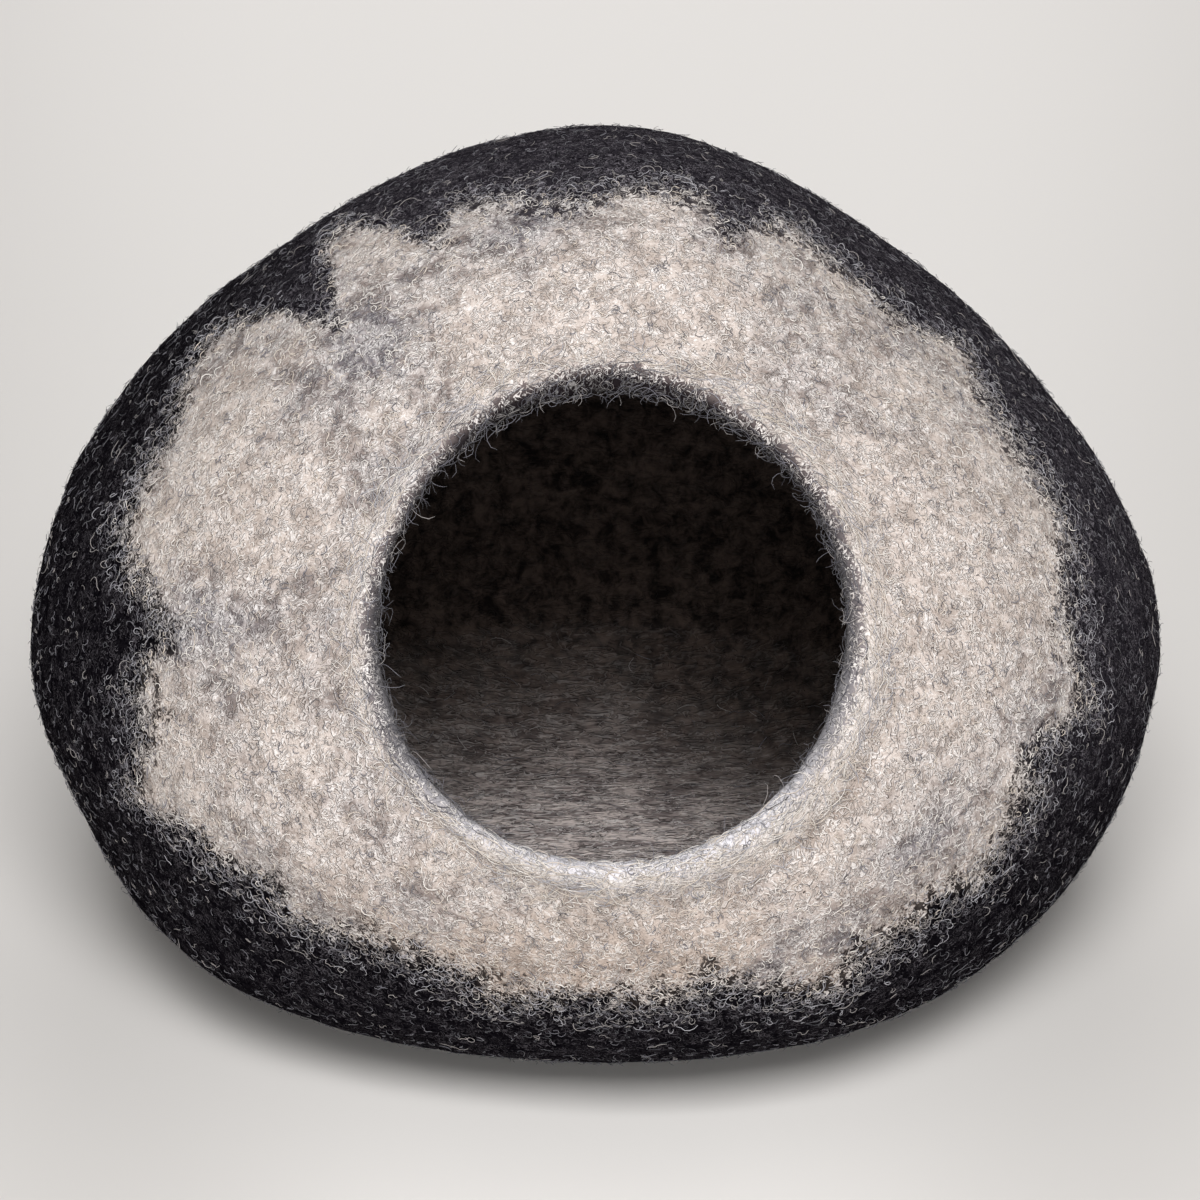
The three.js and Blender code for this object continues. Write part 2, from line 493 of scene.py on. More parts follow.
@dataclass(frozen=True)
class OuterFelt(Felt):
    """Finish of the outer face: pale heathered wool round the mouth, interlocked with blue-black wool."""

    name: str = "felt_outer"
    comb: Triple = (1.0, 1.0, 1.0)
    strands_per_metre: float = 480.0
    flecks_per_metre: float = 760.0
    curl: float = 0.005
    specular: float = 0.0
    tufts: Grain = Grain(90.0, 2.5, 0.75, 0.6)

    # pale wool, which is tan near the floor, with grey clouds, painted shade between the tufts, and dark
    # strands that are partly dark fibres and partly painted shade between the pale ones
    cream: Colour = wool_colour(200, 189, 182)
    tan: Colour = wool_colour(180, 163, 151)
    white: Colour = wool_colour(233, 229, 227)
    cool_grey: Colour = wool_colour(150, 147, 151)
    # painted shade colours: between the tufts, in the crease and in the nap's hollows
    brown_shade: Colour = wool_colour(142, 128, 119)
    blue_shade: Colour = wool_colour(112, 107, 111)
    # colours of the dark strands, partly dark fibres and partly painted shade between the pale strands
    brown_pit: Colour = wool_colour(104, 90, 81)
    slate: Colour = wool_colour(72, 67, 70)
    drift: Grain = Grain(26.0, 2.5, 0.6)
    drifted: Ramp = Ramp(0.44, 0.72, 0.0, 0.6)
    lowness: Ramp = Ramp(0.16, 0.08, 0.0, 0.95)    # by height, in metres
    greyness: float = 0.75
    gap_shading: float = 0.6
    lip_unshading: float = 0.5          # how much of the painted shade between the tufts the lip's painted highlight takes away
    gap_shade: Ramp = Ramp(0.58, 0.36, 0.0, 0.9)        # painted shade between the tufts, by the tufts
    # painted shade in the crease behind the lip's roll, which is dented there as well
    crease_shade: float = 0.8
    # painted highlight on the lip's roll
    lip_highlight: float = 0.42
    # painted shade in the nap's hollows, where the flecks are low
    fleck_shade: Ramp = Ramp(0.52, 0.3, 0.0, 0.5)
    pit_width: float = 0.06
    grey_pit_width: float = 0.07      # added where the wool is grey
    pit_strength: float = 0.48
    lit_width: float = 0.09
    lit_softness: float = 0.09
    # the light strands show more on the tufts: a painted highlight on the clumps
    lit_tufts: Ramp = Ramp(0.36, 0.62, 0.3, 0.72)
    lit_bare: Ramp = Ramp(0.0, 1.0, 1.0, 0.3)      # fewer light strands where the cut edge lies bare

    # wool of the cut edge, with painted shade where it faces down and a painted highlight where it faces up,
    # which the pale strands cover more and more away from it
    shaded_edge_slate: Colour = wool_colour(30, 26, 28)
    edge_brown_shade: Colour = wool_colour(108, 98, 97)
    lit_edge_blue: Colour = wool_colour(218, 215, 220)
    edge_depth: Ramp = Ramp(0.2, 0.8)
    edge_shade: Ramp = Ramp(0.0, 0.8, 0.0, 0.8)
    edge_tufts: Ramp = Ramp(0.36, 0.62, 1.0, 0.4)
    fray: float = 0.6
    first_cover: Ramp = Ramp(1.0, 0.5, -0.03, 0.08)
    further_cover: Ramp = Ramp(0.5, 0.05, 0.0, 0.34)
    full_cover: Ramp = Ramp(0.15, 0.0)
    cover_softness: float = 0.06

    # blue-black wool, greyer with fuzz on the crown, and lighter towards the crown and +X as painted light
    # from above right
    charcoal: Colour = wool_colour(22, 20, 24)
    blue_black: Colour = wool_colour(6, 5, 8)
    lit_crown_fuzz: Colour = wool_colour(50, 47, 53)
    strand_grey: Colour = wool_colour(130, 125, 132)
    crown_light_way: Triple = (0.5, 0.0, 1.0)
    crown_light: Ramp = Ramp(0.17, 0.34)   # by the distance that way, in metres
    charcoal_flecks: Ramp = Ramp(0.35, 0.65)
    fuzz_flecks: Ramp = Ramp(0.3, 0.6, 0.1, 0.8)
    patches: Grain = Grain(120.0, 1.0)
    patched: Ramp = Ramp(0.38, 0.66, 0.16, 0.36)
    crown_strands: float = 0.3
    border_strands: Ramp = Ramp(-0.03, -0.004, 0.0, 0.4)    # by the depth in the pale zone, in metres
    strand_width: float = 0.05
    strand_softness: float = 0.03

    # the pale zone's border
    wander: Grain = Grain(40.0, 3.0, 0.6)
    raggedness: float = 0.03          # metres that the wandering and the tufts each move the border
    border_width: Ramp = Ramp(-0.018, 0.014, -0.03, 0.17)
    pale_width: Ramp = Ramp(0.002, 0.026, 0.0, 0.4)
    strand_share: float = 0.8         # the rest of the mask is even
    even_share: Ramp = Ramp(-0.006, 0.018, 0.0, 0.2)

    def colour(self, ground: Ground) -> Socket:
        """Lay the pale wool over the deep wool, inside the pale zone's border.

        Args:
            ground: What the colour is worked out from.

        Returns:
            The colour's socket.
        """
        net = ground.net
        tufts = net.noise(ground.place, self.tufts)
        grey = self._grey(ground)
        pale = self._heather(ground, tufts, grey)
        # dark strands: partly dark fibres, partly painted shade between the pale strands
        pits = ground.strands("Dark Wave", net.plus(net.times(grey, self.grey_pit_width), self.pit_width))
        pit_wool = net.blend(grey, self.brown_pit, self.slate)
        pale = self._edged(ground, tufts, net.blend(net.times(pits, self.pit_strength), pale, pit_wool))
        return net.blend(self._zone_mask(ground, tufts), self._deep_wool(ground), pale)

    def _grey(self, ground: Ground) -> Socket:
        """Say how grey the pale wool is: its clouds, and a drift between them."""
        total = ground.net.plus(ground.net.attribute("cloud"),
                                ground.net.ease(ground.net.noise(ground.place, self.drift), self.drifted))
        return ground.net.math("MINIMUM", ground.net.math("MAXIMUM", total, 0.0), 1.0)

    def _heather(self, ground: Ground, tufts: Fed, grey: Fed) -> Socket:
        """Colour the pale wool between its strands.

        Args:
            ground: What the colour is worked out from.
            tufts: Noise with the size of single tufts.
            grey: How grey the wool is.

        Returns:
            The colour's socket.
        """
        net = ground.net
        height = net.split(ground.place)[2]
        wool = net.blend(net.ease(height, self.lowness), self.cream, self.tan)
        wool = net.blend(net.times(grey, self.greyness), wool, self.cool_grey)
        # painted shade between the tufts, stronger where the wool is grey
        gap_shading = net.math("SUBTRACT", net.plus(grey, self.gap_shading),
                            net.times(net.attribute("lip"), self.lip_unshading))
        gap_shade = net.math("MINIMUM", net.times(net.ease(tufts, self.gap_shade), gap_shading), 1.0)
        wool = net.blend(gap_shade, wool, net.blend(grey, self.brown_shade, self.blue_shade))
        # painted shade in the crease behind the lip's roll
        wool = net.blend(net.times(net.attribute("crease"), self.crease_shade), wool, self.brown_shade)
        # painted highlight on the lip's roll, strongest at the bottom of the mouth, which faces the light
        wool = net.blend(net.times(net.attribute("lip"), self.lip_highlight), wool, self.white)
        # painted shade in the nap's hollows, where the flecks are low
        return net.blend(net.ease(ground.waves["Fleck"], self.fleck_shade), wool, self.brown_shade)

    def _edged(self, ground: Ground, tufts: Fed, wool: Fed) -> Socket:
        """Lay the cut edge's wool and its painted light under the pale strands, and the lightest strands over
        them.

        Args:
            ground: What the colour is worked out from.
            tufts: Noise with the size of single tufts.
            wool: The pale wool's colour away from the edge.

        Returns:
            The colour's socket.
        """
        net = ground.net
        edge, edge_dark = net.attribute("edge"), net.attribute("edge_dark")
        deep_edge = net.blend(net.ease(edge, self.edge_depth), self.edge_brown_shade, self.shaded_edge_slate)
        # the edge is slate where it faces down at the top, partly painted shade, and a lit bluish white where
        # it faces up
        edge_wool_and_light = net.blend(edge_dark, self.lit_edge_blue, deep_edge)
        # painted shade on the pale wool where it rolls over the top of the cut edge and faces down
        shade = net.times(
            net.ease(net.times(edge, edge_dark), self.edge_shade), net.ease(tufts, self.edge_tufts))
        frayed = net.plus(edge, net.centred(tufts, self.fray))
        width = net.plus(net.ease(frayed, self.first_cover), net.ease(frayed, self.further_cover))
        width = net.plus(width, net.ease(edge, self.full_cover))
        covered = ground.strands("Light Wave", width, self.cover_softness)
        wool = net.blend(covered, edge_wool_and_light, net.blend(shade, wool, self.edge_brown_shade))
        bare = net.times(net.math("SUBTRACT", 1.0, covered), edge_dark)
        lit = ground.strands("Light Wave", self.lit_width, self.lit_softness)
        # the light strands show more on the tufts: a painted highlight on the clumps
        lit = net.times(net.times(lit, net.ease(tufts, self.lit_tufts)), net.ease(bare, self.lit_bare))
        return net.blend(lit, wool, self.white)

    def _deep_wool(self, ground: Ground) -> Socket:
        """Colour the blue-black wool: faint grey strands lie thicker on the crown, and painted light lightens
        it towards the crown and +X.

        Args:
            ground: What the colour is worked out from.

        Returns:
            The colour's socket.
        """
        net, fleck = ground.net, ground.waves["Fleck"]
        crown = net.add("ShaderNodeVectorMath", {
            0: ground.place, 1: self.crown_light_way}, operation="DOT_PRODUCT")
        # painted light: the wool grows lighter and fuzzier towards the crown and the +X side, as if lit from
        # above right
        crown_light = net.ease(crown.outputs[1], self.crown_light)
        wool = net.blend(net.ease(fleck, self.charcoal_flecks), self.blue_black, self.charcoal)
        wool = net.blend(net.times(crown_light, net.ease(fleck, self.fuzz_flecks)), wool, self.lit_crown_fuzz)
        patches = net.plus(net.ease(net.noise(ground.place, self.patches), self.patched),
                           net.times(crown_light, self.crown_strands))
        patches = net.plus(patches, net.ease(net.attribute("pale"), self.border_strands))
        strands = ground.strands("Light Wave", self.strand_width, self.strand_softness)
        return net.blend(net.times(strands, net.math("MINIMUM", patches, 1.0)), wool, self.strand_grey)

    def _zone_mask(self, ground: Ground, tufts: Fed) -> Socket:
        """Feather the pale zone's border: its strands thin out over the dark wool.

        Args:
            ground: What the mask is worked out from.
            tufts: Noise with the size of single tufts.

        Returns:
            A mask that is 1 in the pale zone.
        """
        net = ground.net
        wander = net.centred(net.noise(ground.place, self.wander), self.raggedness)
        reach = net.plus(net.attribute("pale"), net.plus(wander, net.centred(tufts, self.raggedness)))
        width = net.plus(net.ease(reach, self.border_width), net.ease(reach, self.pale_width))
        strands = ground.strands("Light Wave", width, self.cover_softness)
        return net.plus(net.times(strands, self.strand_share), net.ease(reach, self.even_share))


@dataclass(frozen=True)
class InnerFelt(Felt):
    """Finish of the inner face: grey-brown wool, combed level on the floor, mottled up the walls, painted
    shade above and far back.
    """

    name: str = "felt_inner"
    comb: Triple = (0.38, 1.0, 1.0)
    strands_per_metre: float = 330.0
    flecks_per_metre: float = 560.0
    curl: float = 0.007
    specular: float = 0.05
    floor_wool: Colour = wool_colour(216, 203, 198)
    floor_shade: Colour = wool_colour(130, 119, 118)
    wall_wool: Colour = wool_colour(84, 72, 66)
    wall_shade: Colour = wool_colour(26, 22, 21)
    upper_wall_shade: Colour = wool_colour(5, 4, 4)
    # painted shade colour for the nap's hollows, and the colour of the dark strands
    under_wool_and_shade: Colour = wool_colour(46, 41, 41)
    strand: Colour = wool_colour(226, 220, 218)
    streaks: Grain = Grain(110.0, 3.0, 0.75, 0.6)
    streaked: Ramp = Ramp(0.4, 0.62, 0.0, 0.95)
    mottle: Grain = Grain(120.0, 3.0, 0.7, 0.4)
    mottled: Ramp = Ramp(0.3, 0.7, 1.0, 0.0)
    upper_shading: Ramp = Ramp(0.12, 0.24)             # painted shade towards the top of the inside, by height, in metres
    pit_width: float = 0.07
    lit_width: float = 0.06
    flecks: Ramp = Ramp(0.56, 0.34, 0.0, 0.6)
    # what the change from the floor to the walls, and to the floor's painted shade at its far end, does: 0 on
    # the floor and
    # 1 on the walls
    wall_share: Ramp = Ramp(0.0, 0.95)
    fleck_shade: Ramp = Ramp(0.4, 1.0, 1.0, 0.1)
    pit_strength: Ramp = Ramp(0.3, 1.0, 0.7, 0.1)
    lit_strength: Ramp = Ramp(0.0, 1.0, 0.6, 0.012)

    def colour(self, ground: Ground) -> Socket:
        """Colour the combed floor and the mottled walls.

        Args:
            ground: What the colour is worked out from.

        Returns:
            The colour's socket.
        """
        net = ground.net
        wall = net.attribute("wall")
        streaks = net.ease(net.noise(ground.combed, self.streaks), self.streaked)
        floor = net.blend(streaks, self.floor_wool, self.floor_shade)
        mottle = net.ease(net.noise(ground.place, self.mottle), self.mottled)
        walls = net.blend(mottle, self.wall_wool, self.wall_shade)
        # painted shade towards the top of the inside
        walls = net.blend(net.ease(net.split(ground.place)[2], self.upper_shading), walls, self.upper_wall_shade)
        wool = net.blend(net.ease(wall, self.wall_share), floor, walls)
        # painted shade in the nap's hollows, where the flecks are low, less of it up the walls
        shade = net.times(net.ease(ground.waves["Fleck"], self.flecks), net.ease(wall, self.fleck_shade))
        wool = net.blend(shade, wool, self.under_wool_and_shade)
        pits = net.times(ground.strands("Dark Wave", self.pit_width), net.ease(wall, self.pit_strength))
        wool = net.blend(pits, wool, self.under_wool_and_shade)
        lit = net.times(ground.strands("Light Wave", self.lit_width), net.ease(wall, self.lit_strength))
        return net.blend(lit, wool, self.strand)


@dataclass
class MouthFrame:
    """The mouth's axis, which leaves the middle of the cave forwards and upwards."""

    heart: Triple = (0.002, 0.001, 0.148)
    elevation: float = 25.6
    yaw: float = 2.0
    radius: float = 0.099
    # wool on the cut edge, with painted shade where it faces down at the top and a painted highlight where it
    # faces up
    # at the bottom: turn from +X by way of the crown, in degrees, how dark it is, from 0 for bluish white to 1
    # for slate, and how far outside the edge, in metres, half of it has given way to the pale wool
    edge_shades: tuple[Triple, ...] = (
        (0, 0.9, -0.0028), (30, 0.97, -0.002), (60, 1.0, -0.002), (90, 1.0, 0.0035), (120, 1.0, 0.0005),
        (150, 0.97, -0.0028), (180, 0.93, 0.001), (210, 0.8, 0.003), (240, 0.35, 0.0),
        (270, 0.05, -0.001), (300, 0.1, -0.001), (330, 0.7, -0.002))
    edge_fade: float = 0.011              # width over which the cut edge's wool gives way to the pale wool
    lip_middle: float = 0.003
    lip_width: float = 0.005
    lip_level: float = 0.6                # how full the lip is at the sides
    lip_change: float = 0.4               # how much fuller it is at the bottom, and less full at the top; its painted highlight follows, strongest at the bottom
    # creases behind the lip: turn and half width in degrees, and distance outside the edge in metres
    creases: tuple[Triple, ...] = ((232, 24, 0.008), (318, 20, 0.0165))
    crease_width: float = 0.003

    def __post_init__(self) -> None:
        """Work out the axis and the two directions square to it."""
        rise, turn = math.radians(self.elevation), math.radians(self.yaw)
        level = math.cos(rise)
        self.axis = Vector((math.sin(turn) * level, -math.cos(turn) * level, math.sin(rise)))
        self.across = Vector((0, 0, 1)).cross(self.axis).normalized()
        self.above = self.axis.cross(self.across)

    def polar_of(self, points: np.ndarray) -> tuple[np.ndarray, np.ndarray, np.ndarray]:
        """Place points by their angles about the axis.

        Args:
            points: Points in the row frame, one a row.

        Returns:
            Their angle from the axis and turn round it, in degrees, and their distance from it in metres.
        """
        away = points - np.array(self.heart)
        along = away @ np.array(self.axis)
        sideways, upwards = away @ np.array(self.across), away @ np.array(self.above)
        off_axis = np.hypot(sideways, upwards)
        polar = np.degrees(np.arctan2(off_axis, along))
        return polar, np.degrees(np.arctan2(upwards, sideways)) % 360, off_axis

    def edge_wool_and_light(self, turn: np.ndarray) -> tuple[np.ndarray, np.ndarray]:
        """Look up the wool on the mouth's cut edge, with its painted shade where it faces down and highlight
        where it faces up.

        Args:
            turn: Turns round the axis, in degrees.

        Returns:
            How dark it is, from 0 for lit bluish white to 1 for shaded slate, and how far out half of it is
            gone.
        """
        turns, shades, starts = zip(*self.edge_shades, (360, *self.edge_shades[0][1:]))
        return np.interp(turn, turns, shades), np.interp(turn, turns, starts)

    def lip(self, from_rim: np.ndarray, turn: np.ndarray) -> np.ndarray:
        """How full the lip's roll is at some places, which also sets its painted highlight.

        Args:
            from_rim: Distances outside the edge, in metres.
            turn: Turns round the axis, in degrees.

        Returns:
            1 on the roll at the bottom of the mouth, less at its top, and 0 away from it.
        """
        fullness = self.lip_level - self.lip_change * np.sin(np.radians(turn))
        return fullness * np.exp(-(((from_rim - self.lip_middle) / self.lip_width) ** 2))

    def crease(self, from_rim: np.ndarray, turn: np.ndarray) -> np.ndarray:
        """How strong the crease behind the lip's roll is at some places.

        Args:
            from_rim: Distances outside the edge, in metres.
            turn: Turns round the axis, in degrees.

        Returns:
            0 for none and 1 for the strongest.
        """
        depth = np.zeros_like(turn)
        for at, width, place in self.creases:
            across = (from_rim - place) / self.crease_width
            depth += np.exp(-((turn_gap(turn, at) / width) ** 2) - across ** 2)
        return depth

    def round_direction(self, points: np.ndarray) -> np.ndarray:
        """Directions that run round the mouth at some points.

        Args:
            points: Points in the row frame, one a row.

        Returns:
            One unit vector a row.
        """
        found = np.cross(np.array(self.axis), points - np.array(self.heart))
        return found / np.maximum(np.linalg.norm(found, axis=1, keepdims=True), TINY)


@dataclass
class PaleZone:
    """Where the pale wool was laid: how far it reaches, by the turn round the mouth's axis."""

    # turn in degrees from +X by way of the crown, reach from the axis in degrees
    reaches: tuple[Pair, ...] = (
        (0, 56), (30, 60), (60, 59), (90, 55), (120, 60), (150, 66), (180, 56), (210, 53), (240, 43),
        (270, 42), (300, 46), (330, 52))
    # bays of dark wool (negative) and tongues of pale wool: turn, how far, and half their width, in degrees
    lobes: tuple[Triple, ...] = (
        (37, 7, 4.5), (72, -6.5, 3), (94, -2.5, 5), (114, -6, 3), (124, 8, 4), (132, -11, 3.5), (144, 5, 4),
        (156, -3, 3), (168, 3, 3), (180, -5.5, 3.5), (199, 6, 4), (216, -4, 4), (252, 2.5, 4), (285, -3, 5),
        (301, 2.5, 3), (318, -2, 4), (342, -3, 4), (349, 4, 3), (12, 2, 4))
    # clouds in the pale wool, grey (positive) or cream (negative): turn, angle from the axis, half width
    # round and along, and strength
    clouds: tuple[tuple[float, float, float, float, float], ...] = (
        (130, 46, 8, 9, 1.0), (179, 45, 5, 9, 1.0), (325, 42, 12, 6, 0.7), (212, 47, 12, 5, 0.5),
        (100, 49, 14, 5, 0.5), (300, 42, 10, 4, 0.5), (345, 48, 5, 6, 0.6), (72, 50, 6, 5, 0.5),
        (8, 33, 24, 11, -0.8), (163, 50, 9, 8, -0.7), (85, 35, 20, 8, -0.6), (200, 52, 8, 6, -0.6),
        (270, 33, 16, 5, -0.5))
    degree: float = 0.00384           # metres along the felt for each degree of polar angle

    def depth(self, polar: np.ndarray, turn: np.ndarray) -> np.ndarray:
        """How far points lie inside the pale zone.

        Args:
            polar: Angles from the mouth's axis, in degrees.
            turn: Turns round it, in degrees.

        Returns:
            Metres inside the zone's border, negative outside it.
        """
        turns, values = (np.array(column) for column in zip(*self.reaches))
        step = 360 / len(turns)
        row = np.floor(turn / step).astype(int) % len(turns)
        share = smoothstep(turn - turns[row], 0.0, step)
        reach = values[row] * (1 - share) + values[(row + 1) % len(turns)] * share
        for at, far, width in self.lobes:
            reach = reach + far * np.exp(-((turn_gap(turn, at) / width) ** 2))
        return (reach - polar) * self.degree

    def cloudiness(self, polar: np.ndarray, turn: np.ndarray) -> np.ndarray:
        """How grey the pale wool is at some points.

        Args:
            polar: Angles from the mouth's axis, in degrees.
            turn: Turns round it, in degrees.

        Returns:
            1 for grey, 0 for the wool's own drift between grey and cream, and -1 for cream throughout.
        """
        total = np.zeros_like(polar)
        for at, reach, wide, deep, strength in self.clouds:
            total += strength * np.exp(-((turn_gap(turn, at) / wide) ** 2) - ((polar - reach) / deep) ** 2)
        return np.clip(total, -1.0, 1.0)


@dataclass
class FeltShell:
    """The seamless shell: one skin that runs over the outside, the rolled lip and the inside."""

    node: str = "felt_shell"
    mouth: MouthFrame = field(default_factory=MouthFrame)
    zone: PaleZone = field(default_factory=PaleZone)
    merge: float = 1e-5                 # points nearer than this are one
    pair_bend: float = 60.0             # most degrees between two triangles that make a quad
    pair_skew: float = 70.0             # most degrees that the quad's corners may be out of square
    rounds: int = 2                     # rounds of subdivision
    lump_height: float = 0.0007
    lump_size: float = 0.022
    small_lump: float = 0.45            # size of the smaller lumps against the larger
    small_height: float = 0.5           # height of the smaller lumps against the larger
    lumps_by_height: Pair = (0.006, 0.03)    # heights between which the lumps grow from nothing
    lip_rise: float = 0.0010            # extra swelling of the lip's roll where it is fullest
    crease_depth: float = 0.0020
    flat_size: Pair = (0.61, 1.22)      # two discs side by side, as the wool is laid out
    flat_area: float = 0.585

    # where each kind of wool lies: what a smoothstep runs between, in metres where nothing else is said
    mouth_side: float = 60.0            # degrees from the mouth's axis within which its edge is looked for
    far_off: float = 1.0                # what stands for the distance from the edge elsewhere
    outer_face: Pair = (-0.05, 0.35)    # by the share of the normal that points away from the heart
    inner_face: Pair = (-0.1, -0.5)
    off_seat: Pair = (0.004, 0.010)     # by height: felt lower than this lies flat on the floor
    in_pale: Pair = (-0.008, 0.006)
    near_rim: Pair = (0.020, 0.004)
    floor_rise: Pair = (0.012, 0.058)   # the inside by height, from the floor to the walls
    floor_end: Pair = (0.03, 0.22)      # painted shade on the floor, by the way to the back
    side_shares: Pair = (0.25, 0.3)     # how much of the way to either side, and to +X, counts as to the back, for the floor's painted shade
    end_shade: float = 0.86             # how much of the walls' colour the floor's far end takes, as painted shade
    fringe_middle: float = -0.007
    fringe_width: float = 0.011
    rim_wool_reach: float = 0.03
    rim_thinning: float = 0.5           # how many of the pale curls the rim loses
    curl_keep_off: float = 2.0          # how soon curls stay off the dark edge
    comb_keep_off: float = 2.5          # how soon combed wool stays off it
    least_edge: float = 0.25            # how thick fibres stand on a bluish edge against a dark one
    inner_wool: Pair = (0.05, 0.02)     # the loose wool inside by height
    flat_normal: float = 0.9            # a normal steeper than this has no level direction of its own
    rim_combing: float = 0.85           # how much of their spread of turns fibres at the rim lose
    inner_combing: float = 0.7

    def build(self) -> bpy.types.Object:
        """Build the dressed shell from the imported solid.

        Returns:
            The finished piece, with both felts on it.
        """
        rough = put_object("shell_rough", self._merged_skin())
        finer = rough.modifiers.new("finer", "SUBSURF")
        finer.levels = finer.render_levels = self.rounds
        evaluated = rough.evaluated_get(bpy.context.evaluated_depsgraph_get())
        mesh = bpy.data.meshes.new_from_object(evaluated)
        bpy.data.objects.remove(rough)
        mesh.name = "felt_cave"
        mesh.materials.clear()
        mesh.materials.append(OuterFelt().material())
        mesh.materials.append(InnerFelt().material())
        self._full_by_hand(mesh)
        self._store_fields(mesh)
        mesh.polygons.foreach_set("use_smooth", [True] * len(mesh.polygons))
        return put_object("felt_cave", mesh)

    def _merged_skin(self) -> bpy.types.Mesh:
        """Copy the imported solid's mesh, merge its loose triangles and pair them to quads.

        Returns:
            The copy.
        """
        mesh = frame["nodes"][self.node].data.copy()
        shape = bmesh.new()
        shape.from_mesh(mesh)
        bmesh.ops.remove_doubles(shape, verts=shape.verts[:], dist=self.merge)
        bmesh.ops.join_triangles(
            shape, faces=shape.faces[:], angle_face_threshold=math.radians(self.pair_bend),
            angle_shape_threshold=math.radians(self.pair_skew))
        shape.to_mesh(mesh)
        shape.free()
        return mesh

    def _full_by_hand(self, mesh: bpy.types.Mesh) -> None:
        """Raise the low soft lumps that fulling by hand leaves, and keep the base flat.

        Args:
            mesh: The fine skin, which is changed.
        """
        points, normals = rows_of(mesh.vertices, "co"), rows_of(mesh.vertex_normals, "vector")
        small = self.small_lump * self.lump_size
        lift = np.array([noise.noise(Vector(point) / self.lump_size)
                         + self.small_height * noise.noise(Vector(point) / small) for point in points])
        keep = smoothstep(points[:, 2], *self.lumps_by_height)
        polar, turn, off_axis = self.mouth.polar_of(points)
        from_rim = np.where(polar < self.mouth_side, off_axis - self.mouth.radius, self.far_off)
        roll = self.lip_rise * self.mouth.lip(from_rim, turn)
        roll = roll - self.crease_depth * self.mouth.crease(from_rim, turn)
        away = points - np.array(self.mouth.heart)
        is_outer = (normals * away).sum(axis=1) > 0
        points += normals * (lift * keep * self.lump_height + roll * is_outer)[:, None]
        mesh.vertices.foreach_set("co", points.astype(np.float32).ravel())
        mesh.update()

    def _store_fields(self, mesh: bpy.types.Mesh) -> None:
        """Store what the felts and the fibre layers read from each point, and give each face its felt.

        Args:
            mesh: The fine skin, which is changed.
        """
        points, normals = rows_of(mesh.vertices, "co"), rows_of(mesh.vertex_normals, "vector")
        polar, turn, off_axis = self.mouth.polar_of(points)
        away = points - np.array(self.mouth.heart)
        away /= np.linalg.norm(away, axis=1, keepdims=True)
        outward = (normals * away).sum(axis=1)
        is_front = polar < self.mouth_side
        from_rim = np.where(is_front, off_axis - self.mouth.radius, self.far_off)
        outside = smoothstep(outward, *self.outer_face)
        inside = smoothstep(outward, *self.inner_face)
        pale = self.zone.depth(polar, turn)
        # how dark the cut edge is: partly its slate wool, partly painted shade where it faces down and
        # highlight where it faces up
        edge_dark, edge_start = self.mouth.edge_wool_and_light(turn)
        edge = np.clip(0.5 + (edge_start - from_rim) / self.mouth.edge_fade, 0.0, 1.0)
        fields = {
            "pale": pale,
            "cloud": self.zone.cloudiness(polar, turn),
            "edge": edge,
            # the lip's roll, which also carries its painted highlight
            "lip": self.mouth.lip(from_rim, turn) * outside,
            "crease": self.mouth.crease(from_rim, turn) * outside,
            "edge_dark": edge_dark,
            "wall": self._walls_and_far_shade(points),
        }
        fields |= self._naps(points, from_rim, (outside, inside), pale, edge * is_front, edge_dark)
        for name, values in fields.items():
            stored = mesh.attributes.new(name, "FLOAT", "POINT")
            stored.data.foreach_set("value", values.astype(np.float32))
        is_inner = inside > 0.5
        lay = np.where(is_inner[:, None], self._level(normals), self.mouth.round_direction(points))
        stored = mesh.attributes.new("lay", "FLOAT_VECTOR", "POINT")
        stored.data.foreach_set("vector", lay.astype(np.float32).ravel())
        slots = [int(all(is_inner[corner] for corner in face.vertices)) for face in mesh.polygons]
        mesh.polygons.foreach_set("material_index", slots)

    def _walls_and_far_shade(self, points: np.ndarray) -> np.ndarray:
        """Say how far places inside are up the walls, or in the painted shade at the floor's far end and
        sides.

        Args:
            points: Points in the row frame, one a row.

        Returns:
            0 on the floor and 1 on the walls and where the floor's painted shade is deepest.
        """
        across = points[:, 0]
        sideways = self.side_shares[0] * np.abs(across) + self.side_shares[1] * np.maximum(across, 0.0)
        far = smoothstep(points[:, 1] + sideways, *self.floor_end)
        return np.maximum(smoothstep(points[:, 2], *self.floor_rise), self.end_shade * far)

    def _level(self, normals: np.ndarray) -> np.ndarray:
        """Directions that run level along the felt.

        Args:
            normals: Normals of the felt, one a row.

        Returns:
            One unit vector a row, along +X where the felt itself is level.
        """
        level = np.cross(normals, [0.0, 0.0, 1.0]) + [NUDGE, 0.0, 0.0]
        level[:, 0] = np.where(np.abs(normals[:, 2]) > self.flat_normal, 1.0, level[:, 0])
        return level / np.linalg.norm(level, axis=1, keepdims=True)

